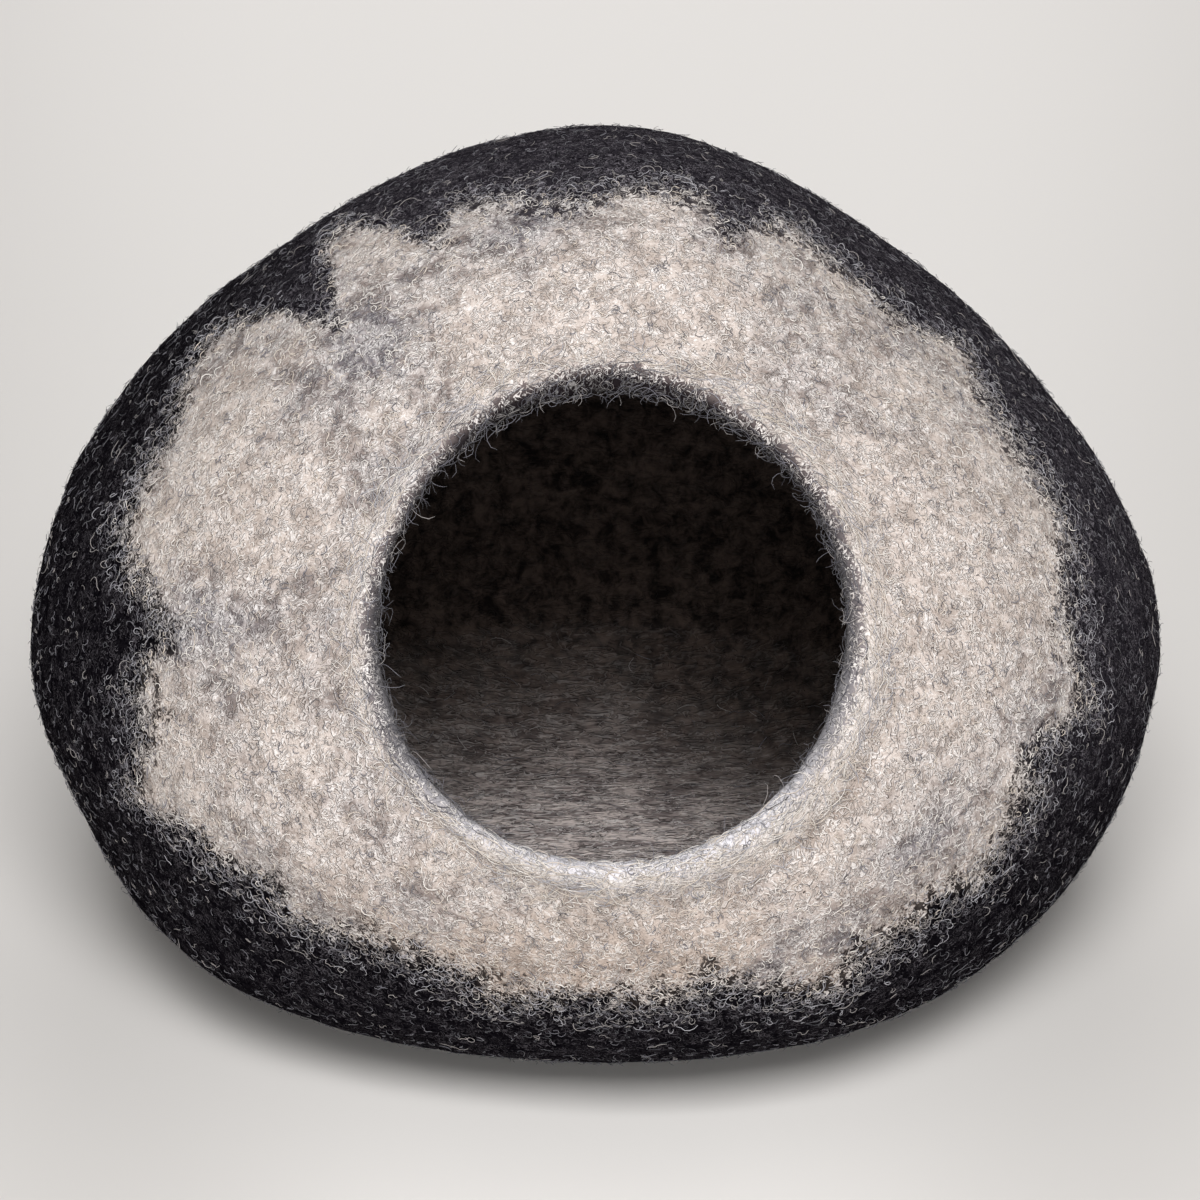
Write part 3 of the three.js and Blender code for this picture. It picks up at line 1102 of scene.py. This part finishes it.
    def _naps(self, points: np.ndarray, from_rim: np.ndarray, faces: tuple[np.ndarray, np.ndarray],
              pale: np.ndarray, edge: np.ndarray, edge_dark: np.ndarray) -> dict[str, np.ndarray]:
        """Say how thickly each layer's fibres stand, and how much they turn about.

        Args:
            points: Points in the row frame, one a row.
            from_rim: Distances outside the mouth's edge, in metres.
            faces: How far the points are on the outer face, and on the inner one.
            pale: Metres inside the pale zone.
            edge: How much of the cut edge's wool there is, and 0 away from the mouth.
            edge_dark: How dark that wool is, partly its own colour and partly painted shade where the edge
                faces down.

        Returns:
            The fields by name.
        """
        outside, inside = faces
        shown = outside * smoothstep(points[:, 2], *self.off_seat)
        in_pale = smoothstep(pale, *self.in_pale)
        near_rim = smoothstep(from_rim, *self.near_rim)
        fringe = np.exp(-(((pale - self.fringe_middle) / self.fringe_width) ** 2))
        curls = np.clip(1 - self.curl_keep_off * edge * edge_dark, 0, 1)
        combed = np.clip(1 - self.comb_keep_off * edge * edge_dark, 0, 1)
        spread = np.clip(1.0 - self.rim_combing * near_rim - self.inner_combing * inside, 0.0, 1.0)
        return {
            "nap_pale": in_pale * shown * (1 - self.rim_thinning * near_rim) * curls,
            "nap_deep": (1 - in_pale) * shown,
            "nap_fringe": fringe * shown,
            "nap_rim": near_rim * (1 - inside) * combed * (from_rim < self.rim_wool_reach),
            "nap_edge": edge * edge * (self.least_edge + (1 - self.least_edge) * edge_dark),
            "nap_blend": 4.0 * edge * (1 - edge) * edge_dark,    # 1 where the dark edge is half gone
            "nap_inside": inside * smoothstep(points[:, 2], *self.inner_wool),
            "spread": spread * math.pi,
        }

    def declare(self, piece: bpy.types.Object) -> None:
        """Attach the shell to the root body, and hide the imported solid that it replaces.

        Args:
            piece: The dressed shell.
        """
        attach(piece, "root")
        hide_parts(self.node)


class CurlForm(Enum):
    """How a fibre's ends lie."""

    TUCKED = "both ends in the felt"
    FREE = "one end free"


@dataclass
class CurlKit:
    """A set of single curled fibres, each a thin closed tube that lies on the felt's plane."""

    name: str
    length: Pair
    bend: Pair                        # radians a segment
    thickness: float
    form: CurlForm = CurlForm.TUCKED
    count: int = 10
    segments: int = 5
    lift: Pair = (0.0005, 0.0012)
    bury: float = 0.00015
    flip: float = 0.12                # chance that the curl turns over at a segment
    jitter: Pair = (0.5, 1.5)         # how much one segment's bend differs from the fibre's own
    free_rise: float = 1.4            # power by which a free end rises
    end_width: float = 0.55           # of a fibre's ends against its middle
    sides: int = 3
    seed: int = 11

    def collection(self) -> bpy.types.Collection:
        """Build the fibres in a collection of their own.

        Returns:
            The collection, linked to the scene until discard is called on it.
        """
        chance = random.Random(self.seed)
        made = bpy.data.collections.new(self.name)
        bpy.context.scene.collection.children.link(made)
        for index in range(self.count):
            mesh = self._tube(f"{self.name}_{index}", self._centreline(chance))
            made.objects.link(bpy.data.objects.new(mesh.name, mesh))
        return made

    @staticmethod
    def discard(made: bpy.types.Collection) -> None:
        """Remove the fibres once a layer has been grown from them.

        Args:
            made: The collection that holds them.
        """
        for item in list(made.objects):
            bpy.data.objects.remove(item)
        bpy.data.collections.remove(made)

    def _centreline(self, chance: random.Random) -> list[Vector]:
        """Draw one fibre's curl.

        Args:
            chance: The seeded source of its differences.

        Returns:
            Its points, from end to end.
        """
        step = chance.uniform(*self.length) / self.segments
        bend = chance.uniform(*self.bend) * chance.choice((-1, 1))
        lift = chance.uniform(*self.lift)
        heading = -bend * self.segments / 2
        place = Vector((0, 0, 0))
        points = []
        for index in range(self.segments + 1):
            share = index / self.segments
            rise = math.sin(math.pi * share) if self.form is CurlForm.TUCKED else share ** self.free_rise
            points.append(Vector((place.x, place.y, lift * rise - self.bury)))
            place = place + Vector((math.cos(heading), math.sin(heading), 0)) * step
            heading += bend * chance.uniform(*self.jitter)
            if chance.random() < self.flip:
                bend = -bend
        middle = sum(points, Vector()) / len(points)
        return [point - Vector((middle.x, middle.y, 0)) for point in points]

    def _tube(self, name: str, points: list[Vector]) -> bpy.types.Mesh:
        """Wrap a closed tube round a centreline, thinner at its ends.

        Args:
            name: The mesh's name.
            points: The centreline.

        Returns:
            The tube.
        """
        corners: list[Vector] = []
        last = len(points) - 1
        for index, point in enumerate(points):
            along = (points[min(index + 1, last)] - points[max(index - 1, 0)]).normalized()
            side = along.cross(Vector((0, 0, 1))).normalized()
            above = side.cross(along)
            radius = self.thickness / 2 * (self.end_width if index in (0, last) else 1.0)
            for corner in range(self.sides):
                angle = 2 * math.pi * corner / self.sides
                corners.append(point + (side * math.cos(angle) + above * math.sin(angle)) * radius)
        faces = []
        for index in range(last):
            for corner in range(self.sides):
                after = (corner + 1) % self.sides
                here, ahead = index * self.sides, (index + 1) * self.sides
                faces.append((here + corner, here + after, ahead + after, ahead + corner))
        faces.append(tuple(range(self.sides)))
        faces.append(tuple(reversed(range(last * self.sides, (last + 1) * self.sides))))
        mesh = bpy.data.meshes.new(name)
        mesh.from_pydata([tuple(corner) for corner in corners], [], faces)
        shape = bmesh.new()
        shape.from_mesh(mesh)
        bmesh.ops.recalc_face_normals(shape, faces=shape.faces[:])
        shape.to_mesh(mesh)
        shape.free()
        mesh.polygons.foreach_set("use_smooth", [True] * len(mesh.polygons))
        return mesh


class Draw(Enum):
    """What is drawn by chance for each fibre, with the number that keeps its draw apart from the others."""

    TURN = 2
    FIBRE = 3
    SIZE = 5
    SHADE = 7


class FibreGrower:
    """The node tree that stands fibres on the felt, in three wools."""

    NAME = "grow_fibres"
    MOST_FIBRES = 97                  # past the last fibre of a kit, the count starts again
    SOCKETS = (
        ("Geometry", "Geometry", None), ("Fibres", "Collection", None), ("Where", "String", "nap_pale"),
        ("Per Square Metre", "Float", 1000.0), ("Tilt", "Float", 0.2), ("Smallest", "Float", 0.75),
        ("Largest", "Float", 1.25), ("Second Share", "Float", 0.66), ("Third Share", "Float", 0.33),
        ("Seed", "Int", 1), ("First Wool", "Material", None), ("Second Wool", "Material", None),
        ("Third Wool", "Material", None),
    )

    def tree(self) -> bpy.types.NodeTree:
        """Build the tree once, and reuse it.

        Returns:
            The tree.
        """
        found = bpy.data.node_groups.get(self.NAME)
        if found:
            return found
        tree = bpy.data.node_groups.new(self.NAME, "GeometryNodeTree")
        tree.is_modifier = True
        add_sockets(tree, self.SOCKETS)
        add_sockets(tree, (("Geometry", "Geometry", None),), "OUTPUT")
        net = NodeNet(tree)
        given = net.add("NodeGroupInput").outputs
        points = net.add("GeometryNodeDistributePointsOnFaces", {
            "Mesh": given["Geometry"],
            "Density": net.times(net.named(given["Where"]), given["Per Square Metre"]),
            "Seed": given["Seed"],
        }, distribute_method="RANDOM")
        fibres = net.add("GeometryNodeCollectionInfo", {
            "Collection": given["Fibres"], "Separate Children": True, "Reset Children": True})
        placed = net.add("GeometryNodeInstanceOnPoints", {
            "Points": points.outputs["Points"],
            "Instance": fibres.outputs[0],
            "Pick Instance": True,
            "Instance Index": self._random(net, given, "INT", 0, self.MOST_FIBRES, Draw.FIBRE),
            "Rotation": self._turned(net, given, points.outputs["Normal"]),
            "Scale": self._random(net, given, "FLOAT", given["Smallest"], given["Largest"], Draw.SIZE),
        })
        shaded = net.add("GeometryNodeStoreNamedAttribute", {
            "Geometry": placed.outputs[0], "Name": "shade",
            "Value": self._random(net, given, "FLOAT", 0.0, 1.0, Draw.SHADE),
        }, data_type="FLOAT", domain="INSTANCE")
        grown = net.add("GeometryNodeRealizeInstances", {"Geometry": shaded.outputs[0]}).outputs[0]
        shade = net.named("shade")
        is_second = net.math("LESS_THAN", shade, net.plus(given["Second Share"], given["Third Share"]))
        is_third = net.math("LESS_THAN", shade, given["Third Share"])
        dressed = net.add("GeometryNodeSetMaterial", {"Geometry": grown, "Material": given["First Wool"]})
        for chosen, wool in ((is_second, "Second Wool"), (is_third, "Third Wool")):
            dressed = net.add("GeometryNodeSetMaterial", {
                "Geometry": dressed.outputs[0], "Selection": chosen, "Material": given[wool]})
        net.add("NodeGroupOutput", {"Geometry": dressed.outputs[0]})
        return tree

    @staticmethod
    def _random(net: NodeNet, given: bpy.types.NodeOutputs, kind: str, low: Fed, high: Fed,
                draw: Draw) -> Socket:
        """Draw a random value for each fibre.

        Args:
            net: The tree being wired.
            given: The group's inputs.
            kind: FLOAT, INT or FLOAT_VECTOR.
            low: The least value.
            high: The greatest value.
            draw: What the value is for.

        Returns:
            The value's socket.
        """
        place = ("FLOAT_VECTOR", "FLOAT", "INT").index(kind)
        seed = net.plus(given["Seed"], float(draw.value))
        inputs = {2 * place: low, 2 * place + 1: high, "Seed": seed}
        return net.add("FunctionNodeRandomValue", inputs, data_type=kind).outputs[place]

    def _turned(self, net: NodeNet, given: bpy.types.NodeOutputs, normal: Socket) -> Socket:
        """Lay each fibre on the felt along its lay, turned and tilted by chance.

        Args:
            net: The tree being wired.
            given: The group's inputs.
            normal: The felt's normal at each fibre.

        Returns:
            The rotation's socket.
        """
        lay = net.named("lay", "FLOAT_VECTOR")
        upright = net.add("FunctionNodeAlignRotationToVector", {"Vector": normal}, axis="Z")
        along = net.add("FunctionNodeAlignRotationToVector", {
            "Rotation": upright.outputs[0], "Vector": lay}, axis="X", pivot_axis="Z")
        parts = net.split(self._random(
            net, given, "FLOAT_VECTOR", (-1.0, -1.0, -1.0), (1.0, 1.0, 1.0), Draw.TURN))
        most = (given["Tilt"], given["Tilt"], net.named("spread"))
        angles = net.add("ShaderNodeCombineXYZ", {
            index: net.times(parts[index], angle) for index, angle in enumerate(most)})
        turn = net.add("FunctionNodeEulerToRotation", {0: angles.outputs[0]})
        return net.add("FunctionNodeRotateRotation", {0: along.outputs[0], 1: turn.outputs[0]},
                       rotation_space="LOCAL").outputs[0]


@dataclass
class FibreLayer:
    """One layer of fibres that stand on the felt, made in one piece."""

    name: str
    where: str                                # the shell's field that says how thickly they stand
    per_square_metre: float
    kit: CurlKit
    wools: tuple[Wool, Wool, Wool]
    shares: Pair = (0.35, 0.3)                # of the second and the third wool
    tilt: float = 0.2                         # most radians from the felt's plane
    scales: Pair = (0.75, 1.3)
    seed: int = 1

    def build(self, skin: bpy.types.Mesh) -> bpy.types.Object:
        """Grow the layer on the skin.

        Args:
            skin: The dressed shell's mesh, with its fields.

        Returns:
            The fibres, as one piece.
        """
        fibres = self.kit.collection()
        grower = put_object(f"{self.name}_grower", skin.copy())
        modifier = grower.modifiers.new("grow", "NODES")
        modifier.node_group = FibreGrower().tree()
        first, second, third = (wool.value.material() for wool in self.wools)
        sizes = {
            "Fibres": fibres, "Where": self.where, "Per Square Metre": self.per_square_metre,
            "Tilt": self.tilt, "Smallest": self.scales[0], "Largest": self.scales[1],
            "Second Share": self.shares[0], "Third Share": self.shares[1], "Seed": self.seed,
            "First Wool": first, "Second Wool": second, "Third Wool": third,
        }
        for item in modifier.node_group.interface.items_tree:
            if item.in_out == "INPUT" and item.name in sizes:
                modifier[item.identifier] = sizes[item.name]
        evaluated = grower.evaluated_get(bpy.context.evaluated_depsgraph_get())
        mesh = bpy.data.meshes.new_from_object(evaluated)
        mesh.name = self.name
        bpy.data.objects.remove(grower)
        CurlKit.discard(fibres)
        for attribute in [item.name for item in mesh.attributes if not item.is_required]:
            if attribute not in {"material_index", "sharp_face"}:
                mesh.attributes.remove(mesh.attributes[attribute])
        piece = put_object(self.name, mesh)
        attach(piece, "root")
        return piece


def fibre_layers() -> list[FibreLayer]:
    """List the layers of fibres, from the pale zone to the inside.

    Returns:
        The layers.
    """
    curls = CurlKit("curls", (0.004, 0.008), (0.5, 1.35), 0.00034)
    strays = CurlKit("strays", (0.005, 0.009), (0.5, 1.3), 0.00026, CurlForm.FREE, lift=(0.0008, 0.0022),
                     seed=23)
    wavy = CurlKit("wavy", (0.005, 0.011), (0.5, 1.5), 0.00024, count=14, segments=6, lift=(0.0003, 0.0010),
                   flip=0.35, seed=29)
    loops = CurlKit("loops", (0.005, 0.010), (0.5, 1.3), 0.00024, count=12, segments=6, lift=(0.0005, 0.0015),
                    flip=0.25, seed=37)
    arcs = CurlKit("arcs", (0.007, 0.013), (0.3, 0.9), 0.0002, count=12, segments=6, lift=(0.0004, 0.0014),
                   flip=0.3, seed=41)
    hairs = CurlKit("hairs", (0.012, 0.02), (0.45, 1.0), 0.0002, CurlForm.FREE, count=12, segments=8,
                    lift=(0.002, 0.006), flip=0.08, seed=31)
    combed = CurlKit("combed", (0.008, 0.013), (0.05, 0.5), 0.0003, seed=43)
    grey_wools = (Wool.STEEL, Wool.ASH, Wool.SLATE)
    return [
        FibreLayer("curls_pale", "nap_pale", 42000, curls, (Wool.WHITE, Wool.CREAM, Wool.STEEL), seed=101,
                   shares=(0.35, 0.2)),
        FibreLayer("strays_pale", "nap_pale", 12000, strays, (Wool.WHITE, Wool.ASH, Wool.SLATE), seed=211),
        FibreLayer("fringe_curls", "nap_fringe", 120000, loops, (Wool.SILVER, Wool.ASH, Wool.STEEL),
                   seed=251),
        FibreLayer("wavy_dark", "nap_deep", 12000, wavy, grey_wools, seed=307, shares=(0.15, 0.5)),
        FibreLayer("strays_dark", "nap_deep", 9000, strays, (Wool.STEEL, Wool.SLATE, Wool.ASH), seed=401,
                   shares=(0.6, 0.1), scales=(0.6, 1.1)),
        FibreLayer("rim_wool", "nap_rim", 170000, combed, (Wool.WHITE, Wool.CREAM, Wool.SILVER), seed=503),
        FibreLayer("rim_blend", "nap_blend", 40000, combed, grey_wools, seed=521, tilt=0.3,
                   shares=(0.12, 0.5)),
        FibreLayer("rim_loops", "nap_edge", 70000, arcs, grey_wools, seed=557, tilt=0.4, shares=(0.08, 0.55)),
        FibreLayer("rim_hairs", "nap_edge", 70000, hairs, grey_wools, seed=601, tilt=0.9, shares=(0.2, 0.45)),
        FibreLayer("inner_wool", "nap_inside", 4000, combed, grey_wools, seed=701),
    ]


@dataclass(frozen=True)
class SoftLight:
    """A square soft light."""

    name: str
    place: Triple
    power: float                          # watts
    side: float
    target: Triple = (0.0, 0.0, 0.156)
    spread: float = 180.0                 # degrees

    def hang(self) -> None:
        """Put the light in the scene."""
        light = bpy.data.lights.new(self.name, "AREA")
        light.energy = self.power
        light.shape = "SQUARE"
        light.size = self.side
        light.spread = math.radians(self.spread)
        lamp = put_object(self.name, light)
        lamp.location = self.place
        back = Vector(self.place) - Vector(self.target)
        lamp.rotation_euler = back.to_track_quat("Z", "Y").to_euler()


@dataclass
class Studio:
    """A pale floor, soft light and the camera."""

    floor_size: float = 14.0
    floor_drop: float = 0.0004
    # a painted pool of light: the paper is lighter down the middle and darker towards the sides
    paper_lit_middle: Colour = wool_colour(230, 227, 224)
    paper_dim_edges: Colour = wool_colour(207, 204, 201)
    paper_reach: float = 0.2              # half width of the painted pool of light down the middle, beside the cave
    paper_widening: float = 0.25          # how much wider it grows for each metre towards the back
    least_reach: float = 0.1
    paper_fade: Ramp = Ramp(0.4, 1.6)     # by the distance from the middle, in half widths
    paper_roughness: float = 0.9
    paper_specular: float = 0.1
    air: Colour = (1.0, 0.975, 0.955, 1.0)
    ambient: float = 0.18
    lights: tuple[SoftLight, ...] = (
        SoftLight("front_light", (0.08, -2.05, 2.30), 86.0, 1.2),
        SoftLight("low_fill", (0.1, -3.4, 0.9), 52.0, 2.4),
        SoftLight("top_light", (0.05, -0.1, 2.8), 3.0, 1.4),
        SoftLight("back_light", (0.1, 1.3, 2.5), 6.0, 2.2),
        SoftLight("paper_light", (0.0, 1.9, 3.0), 10.0, 1.6, (0.0, 1.9, 0.0), 80.0),
    )
    aim: Triple = (0.0013, 0.0030, 0.1562)
    distance: float = 1.9
    elevation: float = 26.0
    focal_share: float = 4268 / 1200      # focal length against the image's width
    sensor: float = 36.0
    sight: float = 100.0

    def build(self) -> bpy.types.Object:
        """Build the floor, the light and the camera.

        Returns:
            The floor.
        """
        scene = bpy.context.scene
        scene.view_settings.view_transform = "Standard"
        world = bpy.data.worlds.new("studio_air")
        world.use_nodes = True
        world.node_tree.nodes["Background"].inputs["Color"].default_value = self.air
        world.node_tree.nodes["Background"].inputs["Strength"].default_value = self.ambient
        scene.world = world
        for light in self.lights:
            light.hang()
        camera = bpy.data.cameras.new("camera")
        camera.sensor_width = self.sensor
        camera.lens = self.sensor * self.focal_share
        camera.clip_end = self.sight
        viewer = put_object("camera", camera)
        rise = math.radians(self.elevation)
        back = Vector((0, -math.cos(rise), math.sin(rise)))
        viewer.location = Vector(self.aim) + back * self.distance
        viewer.rotation_euler = (-back).to_track_quat("-Z", "Y").to_euler()
        scene.camera = viewer
        return self._floor()

    def _floor(self) -> bpy.types.Object:
        """Lay the pale floor, with a painted pool of light down its middle.

        Returns:
            The floor.
        """
        half = self.floor_size / 2
        corners = [(-half, -half), (half, -half), (half, half), (-half, half)]
        mesh = bpy.data.meshes.new("floor")
        mesh.from_pydata([(x, y, -self.floor_drop) for x, y in corners], [], [(0, 1, 2, 3)])
        floor = put_object("floor", mesh)
        paper = bpy.data.materials.new("floor_paper")
        paper.use_nodes = True
        net = NodeNet(paper.node_tree)
        place = net.add("ShaderNodeTexCoord").outputs["Object"]
        parts = net.split(place)
        reach = net.plus(net.times(parts[1], self.paper_widening), self.paper_reach)
        half_width = net.math("MAXIMUM", reach, self.least_reach)
        away = net.math("DIVIDE", net.math("ABSOLUTE", parts[0]), half_width)
        shader = paper.node_tree.nodes["Principled BSDF"]
        net.feed(shader.inputs["Base Color"],
                 net.blend(net.ease(away, self.paper_fade), self.paper_lit_middle, self.paper_dim_edges))
        shader.inputs["Roughness"].default_value = self.paper_roughness
        shader.inputs["Specular IOR Level"].default_value = self.paper_specular
        mesh.materials.append(paper)
        return floor


def main() -> None:
    """Build the studio, the shell and its fibres."""
    logging.basicConfig(level=logging.INFO, format="%(name)s: %(message)s")
    floor = Studio().build()
    shell = FeltShell()
    cave = shell.build()
    LOG.info("%s: %d faces", cave.name, len(cave.data.polygons))
    for layer in fibre_layers():
        piece = layer.build(cave.data)
        triangles = sum(len(face.vertices) - 2 for face in piece.data.polygons)
        LOG.info("%s: %d triangles", piece.name, triangles)
    shell.declare(cave)


if __name__ == "__main__":
    main()
